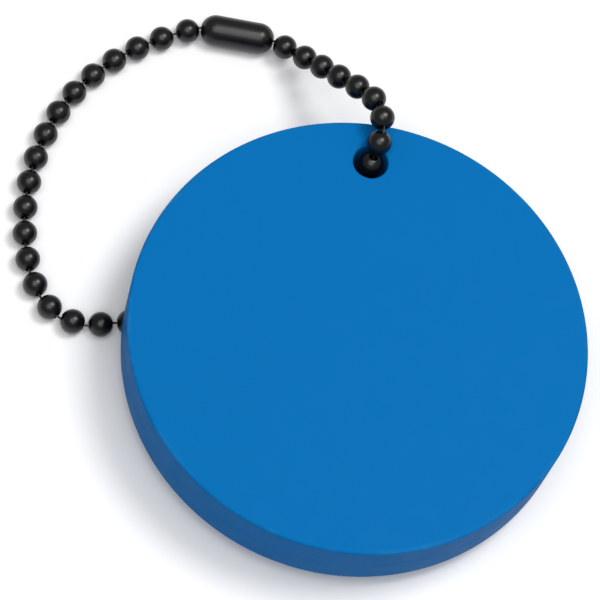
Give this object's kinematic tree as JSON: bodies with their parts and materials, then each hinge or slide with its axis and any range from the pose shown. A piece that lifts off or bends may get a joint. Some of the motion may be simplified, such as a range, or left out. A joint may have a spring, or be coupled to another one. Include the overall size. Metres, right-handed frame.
{
  "type": "transit token",
  "caption": "Round contactless fare token moulded as two half shells around an antenna inlay, with a hole near its rim, on a closed loop of bead chain with a barrel connector.",
  "frame": {"origin": "centre of the shallow label recess in the token's rear face", "axes": "+Z out of the token's front face, +Y from its centre towards the rim beyond the hole, +X to the right of that as seen from the front"},
  "size_m": [0.0543, 0.0592, 0.013],
  "materials": {
    "token_plastic": "satin moulded",
    "chain_black": "gloss black",
    "connector_black": "satin black",
    "inlay_board": "matte laminate",
    "coil_copper": "bright copper",
    "chip_resin": "moulded resin"
  },
  "bodies": {
    "token": {"front_shell": "token_plastic", "rear_shell": "token_plastic", "inlay_card": "inlay_board", "antenna_coil": "coil_copper", "chip_module": "chip_resin", "coil_leads": "coil_copper"},
    "captive_ball_a": {"captive_ball_a": "chain_black"},
    "chain_ball_01": {"chain_ball_01": "chain_black"},
    "chain_ball_02": {"chain_ball_02": "chain_black"},
    "chain_ball_03": {"chain_ball_03": "chain_black"},
    "chain_ball_04": {"chain_ball_04": "chain_black"},
    "chain_ball_05": {"chain_ball_05": "chain_black"},
    "chain_ball_06": {"chain_ball_06": "chain_black"},
    "chain_ball_07": {"chain_ball_07": "chain_black"},
    "chain_ball_08": {"chain_ball_08": "chain_black"},
    "chain_ball_09": {"chain_ball_09": "chain_black"},
    "chain_ball_10": {"chain_ball_10": "chain_black"},
    "chain_ball_11": {"chain_ball_11": "chain_black"},
    "chain_ball_12": {"chain_ball_12": "chain_black"},
    "chain_ball_13": {"chain_ball_13": "chain_black"},
    "chain_ball_14": {"chain_ball_14": "chain_black"},
    "chain_ball_15": {"chain_ball_15": "chain_black"},
    "chain_ball_16": {"chain_ball_16": "chain_black"},
    "chain_ball_17": {"chain_ball_17": "chain_black"},
    "chain_ball_18": {"chain_ball_18": "chain_black"},
    "chain_ball_19": {"chain_ball_19": "chain_black"},
    "chain_ball_20": {"chain_ball_20": "chain_black"},
    "chain_ball_21": {"chain_ball_21": "chain_black"},
    "chain_ball_22": {"chain_ball_22": "chain_black"},
    "chain_ball_23": {"chain_ball_23": "chain_black"},
    "chain_ball_24": {"chain_ball_24": "chain_black"},
    "chain_ball_25": {"chain_ball_25": "chain_black"},
    "chain_ball_26": {"chain_ball_26": "chain_black"},
    "chain_ball_27": {"chain_ball_27": "chain_black"},
    "chain_ball_28": {"chain_ball_28": "chain_black"},
    "chain_ball_29": {"chain_ball_29": "chain_black"},
    "chain_ball_30": {"chain_ball_30": "chain_black"},
    "chain_ball_31": {"chain_ball_31": "chain_black"},
    "chain_ball_32": {"chain_ball_32": "chain_black"},
    "chain_ball_33": {"chain_ball_33": "chain_black"},
    "chain_ball_34": {"chain_ball_34": "chain_black"},
    "chain_ball_35": {"chain_ball_35": "chain_black"},
    "chain_ball_36": {"chain_ball_36": "chain_black"},
    "chain_ball_37": {"chain_ball_37": "chain_black"},
    "chain_ball_38": {"chain_ball_38": "chain_black"},
    "chain_ball_39": {"chain_ball_39": "chain_black"},
    "chain_ball_40": {"chain_ball_40": "chain_black"},
    "chain_ball_41": {"chain_ball_41": "chain_black"},
    "chain_ball_42": {"chain_ball_42": "chain_black"},
    "chain_ball_43": {"chain_ball_43": "chain_black"},
    "chain_ball_44": {"chain_ball_44": "chain_black"},
    "chain_ball_45": {"chain_ball_45": "chain_black"},
    "chain_ball_46": {"chain_ball_46": "chain_black"},
    "chain_ball_47": {"chain_ball_47": "chain_black"},
    "chain_ball_48": {"chain_ball_48": "chain_black"},
    "chain_ball_49": {"chain_ball_49": "chain_black"},
    "captive_ball_b": {"captive_ball_b": "chain_black"},
    "barrel_connector": {"barrel_connector": "connector_black"}
  },
  "joints": [
    {"name": "loop_swing", "type": "hinge", "parent": "token", "child": "chain_ball_40", "pos_m": [0.0017, 0.01775, 0.0045], "axis": [0, 0, 1], "range_deg": [-25, 25]},
    {"name": "link_pivot_39", "type": "hinge", "parent": "chain_ball_40", "child": "chain_ball_39", "pos_m": [0.00173, 0.01772, 0.00177], "axis": [0, 0, 1], "range_deg": [-0.58, 0.58]},
    {"name": "link_pivot_38", "type": "hinge", "parent": "chain_ball_39", "child": "chain_ball_38", "pos_m": [0.00262, 0.01696, -0.00071], "axis": [0, 0, 1], "range_deg": [-0.428, 0.428]},
    {"name": "link_pivot_37", "type": "hinge", "parent": "chain_ball_38", "child": "chain_ball_37", "pos_m": [0.00464, 0.0153, -0.00157], "axis": [0, 0, 1], "range_deg": [-0.81, 0.81]},
    {"name": "link_pivot_36", "type": "hinge", "parent": "chain_ball_37", "child": "chain_ball_36", "pos_m": [0.00664, 0.01341, -0.00153], "axis": [0, 0, 1], "range_deg": [-0.75, 0.75]},
    {"name": "link_pivot_35", "type": "hinge", "parent": "chain_ball_36", "child": "chain_ball_35", "pos_m": [0.00816, 0.01112, -0.00152], "axis": [0, 0, 1], "range_deg": [-8.93, 8.93]},
    {"name": "link_pivot_34", "type": "hinge", "parent": "chain_ball_35", "child": "chain_ball_34", "pos_m": [0.00921, 0.00858, -0.00156], "axis": [0, 0, 1], "range_deg": [-2.15, 2.15]},
    {"name": "link_pivot_33", "type": "hinge", "parent": "chain_ball_34", "child": "chain_ball_33", "pos_m": [0.0098, 0.0059, -0.00156], "axis": [0, 0, 1], "range_deg": [-2.69, 2.69]},
    {"name": "loop_skew", "type": "hinge", "parent": "chain_ball_33", "child": "chain_ball_32", "pos_m": [0.0099, 0.00315, -0.00155], "axis": [0, 0, 1], "range_deg": [-7.04, 7.04]},
    {"name": "link_pivot_31", "type": "hinge", "parent": "chain_ball_32", "child": "chain_ball_31", "pos_m": [0.00945, 0.00043, -0.00155], "axis": [0, 0, 1], "range_deg": [-0.4922, 0.4922]},
    {"name": "link_pivot_30", "type": "hinge", "parent": "chain_ball_31", "child": "chain_ball_30", "pos_m": [0.00838, -0.0021, -0.00155], "axis": [0, 0, 1], "range_deg": [-0.4896, 0.4896]},
    {"name": "link_pivot_29", "type": "hinge", "parent": "chain_ball_30", "child": "chain_ball_29", "pos_m": [0.00667, -0.00425, -0.00155], "axis": [0, 0, 1], "range_deg": [-4.95, 4.95]},
    {"name": "link_pivot_28", "type": "hinge", "parent": "chain_ball_29", "child": "chain_ball_28", "pos_m": [0.00442, -0.00583, -0.00155], "axis": [0, 0, 1], "range_deg": [-1.44, 1.44]},
    {"name": "link_pivot_27", "type": "hinge", "parent": "chain_ball_28", "child": "chain_ball_27", "pos_m": [0.00181, -0.0067, -0.00155], "axis": [0, 0, 1], "range_deg": [-7.82, 7.82]},
    {"name": "link_pivot_26", "type": "hinge", "parent": "chain_ball_27", "child": "chain_ball_26", "pos_m": [-0.00094, -0.0068, -0.00155], "axis": [0, 0, 1], "range_deg": [-2.43, 2.43]},
    {"name": "link_pivot_25", "type": "hinge", "parent": "chain_ball_26", "child": "chain_ball_25", "pos_m": [-0.00361, -0.00612, -0.00155], "axis": [0, 0, 1], "range_deg": [-0.4906, 0.4906]},
    {"name": "link_pivot_24", "type": "hinge", "parent": "chain_ball_25", "child": "chain_ball_24", "pos_m": [-0.00601, -0.00478, -0.00155], "axis": [0, 0, 1], "range_deg": [-3.43, 3.43]},
    {"name": "link_pivot_23", "type": "hinge", "parent": "chain_ball_24", "child": "chain_ball_23", "pos_m": [-0.00816, -0.00306, -0.00155], "axis": [0, 0, 1], "range_deg": [-3, 3]},
    {"name": "link_pivot_22", "type": "hinge", "parent": "chain_ball_23", "child": "chain_ball_22", "pos_m": [-0.01016, -0.00118, -0.00155], "axis": [0, 0, 1], "range_deg": [-1.55, 1.55]},
    {"name": "link_pivot_21", "type": "hinge", "parent": "chain_ball_22", "child": "chain_ball_21", "pos_m": [-0.0122, 0.00067, -0.00155], "axis": [0, 0, 1], "range_deg": [-4.79, 4.79]},
    {"name": "link_pivot_20", "type": "hinge", "parent": "chain_ball_21", "child": "chain_ball_20", "pos_m": [-0.01443, 0.00229, -0.00155], "axis": [0, 0, 1], "range_deg": [-0.6, 0.6]},
    {"name": "link_pivot_19", "type": "hinge", "parent": "chain_ball_20", "child": "chain_ball_19", "pos_m": [-0.01692, 0.00344, -0.00155], "axis": [0, 0, 1], "range_deg": [-6.77, 6.77]},
    {"name": "link_pivot_18", "type": "hinge", "parent": "chain_ball_19", "child": "chain_ball_18", "pos_m": [-0.01964, 0.00385, -0.00155], "axis": [0, 0, 1], "range_deg": [-1.97, 1.97]},
    {"name": "loop_bow", "type": "hinge", "parent": "chain_ball_18", "child": "chain_ball_17", "pos_m": [-0.02238, 0.00363, -0.00155], "axis": [0, 0, 1], "range_deg": [-10.43, 10.43]},
    {"name": "link_pivot_16", "type": "hinge", "parent": "chain_ball_17", "child": "chain_ball_16", "pos_m": [-0.02511, 0.00329, -0.00155], "axis": [0, 0, 1], "range_deg": [-0.479, 0.479]},
    {"name": "link_pivot_15", "type": "hinge", "parent": "chain_ball_16", "child": "chain_ball_15", "pos_m": [-0.02775, 0.00406, -0.00155], "axis": [0, 0, 1], "range_deg": [-4.05, 4.05]},
    {"name": "link_pivot_14", "type": "hinge", "parent": "chain_ball_15", "child": "chain_ball_14", "pos_m": [-0.02955, 0.00615, -0.00155], "axis": [0, 0, 1], "range_deg": [-4.1, 4.1]},
    {"name": "link_pivot_13", "type": "hinge", "parent": "chain_ball_14", "child": "chain_ball_13", "pos_m": [-0.03054, 0.00871, -0.00155], "axis": [0, 0, 1], "range_deg": [-0.4893, 0.4893]},
    {"name": "link_pivot_12", "type": "hinge", "parent": "chain_ball_13", "child": "chain_ball_12", "pos_m": [-0.031, 0.01142, -0.00155], "axis": [0, 0, 1], "range_deg": [-4.01, 4.01]},
    {"name": "link_pivot_11", "type": "hinge", "parent": "chain_ball_12", "child": "chain_ball_11", "pos_m": [-0.03113, 0.01417, -0.00155], "axis": [0, 0, 1], "range_deg": [-3.98, 3.98]},
    {"name": "link_pivot_10", "type": "hinge", "parent": "chain_ball_11", "child": "chain_ball_10", "pos_m": [-0.03094, 0.01691, -0.00155], "axis": [0, 0, 1], "range_deg": [-2.32, 2.32]},
    {"name": "link_pivot_09", "type": "hinge", "parent": "chain_ball_10", "child": "chain_ball_09", "pos_m": [-0.03044, 0.01962, -0.00155], "axis": [0, 0, 1], "range_deg": [-6.22, 6.22]},
    {"name": "link_pivot_08", "type": "hinge", "parent": "chain_ball_09", "child": "chain_ball_08", "pos_m": [-0.02964, 0.02225, -0.00155], "axis": [0, 0, 1], "range_deg": [-0.479, 0.479]},
    {"name": "link_pivot_07", "type": "hinge", "parent": "chain_ball_08", "child": "chain_ball_07", "pos_m": [-0.02855, 0.02477, -0.00155], "axis": [0, 0, 1], "range_deg": [-3.68, 3.68]},
    {"name": "link_pivot_06", "type": "hinge", "parent": "chain_ball_07", "child": "chain_ball_06", "pos_m": [-0.02714, 0.02714, -0.00155], "axis": [0, 0, 1], "range_deg": [-3.91, 3.91]},
    {"name": "link_pivot_05", "type": "hinge", "parent": "chain_ball_06", "child": "chain_ball_05", "pos_m": [-0.02541, 0.02928, -0.00155], "axis": [0, 0, 1], "range_deg": [-0.479, 0.479]},
    {"name": "link_pivot_04", "type": "hinge", "parent": "chain_ball_05", "child": "chain_ball_04", "pos_m": [-0.02341, 0.03116, -0.00155], "axis": [0, 0, 1], "range_deg": [-6, 6]},
    {"name": "link_pivot_03", "type": "hinge", "parent": "chain_ball_04", "child": "chain_ball_03", "pos_m": [-0.02118, 0.03277, -0.00155], "axis": [0, 0, 1], "range_deg": [-3.41, 3.41]},
    {"name": "link_pivot_02", "type": "hinge", "parent": "chain_ball_03", "child": "chain_ball_02", "pos_m": [-0.01878, 0.03412, -0.00155], "axis": [0, 0, 1], "range_deg": [-1.48, 1.48]},
    {"name": "link_pivot_01", "type": "hinge", "parent": "chain_ball_02", "child": "chain_ball_01", "pos_m": [-0.01625, 0.03518, -0.00149], "axis": [0, 0, 1], "range_deg": [-9.33, 9.33]},
    {"name": "link_pivot_00", "type": "hinge", "parent": "chain_ball_01", "child": "captive_ball_a", "pos_m": [-0.0136, 0.03589, -0.0012], "axis": [0, 0, 1], "range_deg": [-5.6, 5.6]},
    {"name": "link_pivot_40", "type": "hinge", "parent": "chain_ball_40", "child": "chain_ball_41", "pos_m": [0.00171, 0.01775, 0.00452], "axis": [0, 0, 1], "range_deg": [-0.83, 0.83]},
    {"name": "link_pivot_41", "type": "hinge", "parent": "chain_ball_41", "child": "chain_ball_42", "pos_m": [0.00201, 0.0182, 0.00722], "axis": [0, 0, 1], "range_deg": [-0.59, 0.59]},
    {"name": "link_pivot_42", "type": "hinge", "parent": "chain_ball_42", "child": "chain_ball_43", "pos_m": [0.00269, 0.02009, 0.00911], "axis": [0, 0, 1], "range_deg": [-0.428, 0.428]},
    {"name": "link_pivot_43", "type": "hinge", "parent": "chain_ball_43", "child": "chain_ball_44", "pos_m": [0.00255, 0.02282, 0.00885], "axis": [0, 0, 1], "range_deg": [-0.51, 0.51]},
    {"name": "link_pivot_44", "type": "hinge", "parent": "chain_ball_44", "child": "chain_ball_45", "pos_m": [0.00148, 0.02495, 0.00748], "axis": [0, 0, 1], "range_deg": [-5.62, 5.62]},
    {"name": "link_pivot_45", "type": "hinge", "parent": "chain_ball_45", "child": "chain_ball_46", "pos_m": [-0.00003, 0.02691, 0.00569], "axis": [0, 0, 1], "range_deg": [-2.35, 2.35]},
    {"name": "link_pivot_46", "type": "hinge", "parent": "chain_ball_46", "child": "chain_ball_47", "pos_m": [-0.00143, 0.02889, 0.00385], "axis": [0, 0, 1], "range_deg": [-1.37, 1.37]},
    {"name": "link_pivot_47", "type": "hinge", "parent": "chain_ball_47", "child": "chain_ball_48", "pos_m": [-0.00274, 0.03089, 0.00196], "axis": [0, 0, 1], "range_deg": [-0.4791, 0.4791]},
    {"name": "link_pivot_48", "type": "hinge", "parent": "chain_ball_48", "child": "chain_ball_49", "pos_m": [-0.00419, 0.03279, 0.00006], "axis": [0, 0, 1], "range_deg": [-5.04, 5.04]},
    {"name": "link_pivot_49", "type": "hinge", "parent": "chain_ball_49", "child": "captive_ball_b", "pos_m": [-0.0062, 0.03471, -0.0012], "axis": [0, 0, 1], "range_deg": [-1.58, 1.58]},
    {"name": "connector_spin", "type": "hinge", "parent": "captive_ball_b", "child": "barrel_connector", "pos_m": [-0.0099, 0.0353, -0.0012], "axis": [0.9877, -0.1564, 0], "continuous": true}
  ],
  "couplings": [
    {"joint": "link_pivot_39", "follows": "loop_bow", "ratio": -0.052794},
    {"joint": "link_pivot_38", "follows": "loop_skew", "ratio": -0.056793},
    {"joint": "link_pivot_37", "follows": "loop_bow", "ratio": -0.074701},
    {"joint": "link_pivot_36", "follows": "loop_skew", "ratio": -0.10163},
    {"joint": "link_pivot_35", "follows": "loop_bow", "ratio": -0.83727},
    {"joint": "link_pivot_34", "follows": "loop_skew", "ratio": 0.29689},
    {"joint": "link_pivot_33", "follows": "loop_bow", "ratio": -0.25137},
    {"joint": "link_pivot_31", "follows": "loop_bow", "ratio": 0.044393},
    {"joint": "link_pivot_30", "follows": "loop_skew", "ratio": 0.065361},
    {"joint": "link_pivot_29", "follows": "loop_bow", "ratio": 0.46303},
    {"joint": "link_pivot_28", "follows": "loop_skew", "ratio": -0.19746},
    {"joint": "link_pivot_27", "follows": "loop_bow", "ratio": 0.73288},
    {"joint": "link_pivot_26", "follows": "loop_skew", "ratio": -0.33592},
    {"joint": "link_pivot_25", "follows": "loop_bow", "ratio": 0.044245},
    {"joint": "link_pivot_24", "follows": "loop_skew", "ratio": -0.47427},
    {"joint": "link_pivot_23", "follows": "loop_bow", "ratio": -0.28008},
    {"joint": "link_pivot_22", "follows": "loop_skew", "ratio": -0.21232},
    {"joint": "link_pivot_21", "follows": "loop_bow", "ratio": -0.44846},
    {"joint": "link_pivot_20", "follows": "loop_skew", "ratio": 0.081282},
    {"joint": "link_pivot_19", "follows": "loop_bow", "ratio": -0.63503},
    {"joint": "link_pivot_18", "follows": "loop_skew", "ratio": -0.27112},
    {"joint": "link_pivot_16", "follows": "loop_skew", "ratio": -0.063892},
    {"joint": "link_pivot_15", "follows": "loop_bow", "ratio": 0.37855},
    {"joint": "link_pivot_14", "follows": "loop_skew", "ratio": 0.56845},
    {"joint": "link_pivot_13", "follows": "loop_bow", "ratio": -0.04412},
    {"joint": "link_pivot_12", "follows": "loop_skew", "ratio": 0.55558},
    {"joint": "link_pivot_11", "follows": "loop_bow", "ratio": -0.37225},
    {"joint": "link_pivot_10", "follows": "loop_skew", "ratio": 0.32019},
    {"joint": "link_pivot_09", "follows": "loop_bow", "ratio": -0.58242},
    {"joint": "link_pivot_08", "follows": "loop_skew", "ratio": 0.063892},
    {"joint": "link_pivot_07", "follows": "loop_bow", "ratio": -0.34451},
    {"joint": "link_pivot_06", "follows": "loop_skew", "ratio": -0.54097},
    {"joint": "link_pivot_05", "follows": "loop_bow", "ratio": 0.043153},
    {"joint": "link_pivot_04", "follows": "loop_skew", "ratio": -0.83254},
    {"joint": "link_pivot_03", "follows": "loop_bow", "ratio": 0.31901},
    {"joint": "link_pivot_02", "follows": "loop_skew", "ratio": -0.20299},
    {"joint": "link_pivot_01", "follows": "loop_bow", "ratio": 0.87541},
    {"joint": "link_pivot_00", "follows": "loop_skew", "ratio": 0.77689},
    {"joint": "link_pivot_40", "follows": "loop_skew", "ratio": 0.11317},
    {"joint": "link_pivot_41", "follows": "loop_bow", "ratio": 0.053355},
    {"joint": "link_pivot_42", "follows": "loop_skew", "ratio": 0.056793},
    {"joint": "link_pivot_43", "follows": "loop_bow", "ratio": -0.045761},
    {"joint": "link_pivot_44", "follows": "loop_skew", "ratio": 0.77917},
    {"joint": "link_pivot_45", "follows": "loop_bow", "ratio": -0.2195},
    {"joint": "link_pivot_46", "follows": "loop_skew", "ratio": 0.18796},
    {"joint": "link_pivot_47", "follows": "loop_bow", "ratio": 0.043165},
    {"joint": "link_pivot_48", "follows": "loop_skew", "ratio": -0.69847},
    {"joint": "link_pivot_49", "follows": "loop_bow", "ratio": 0.14638}
  ]
}
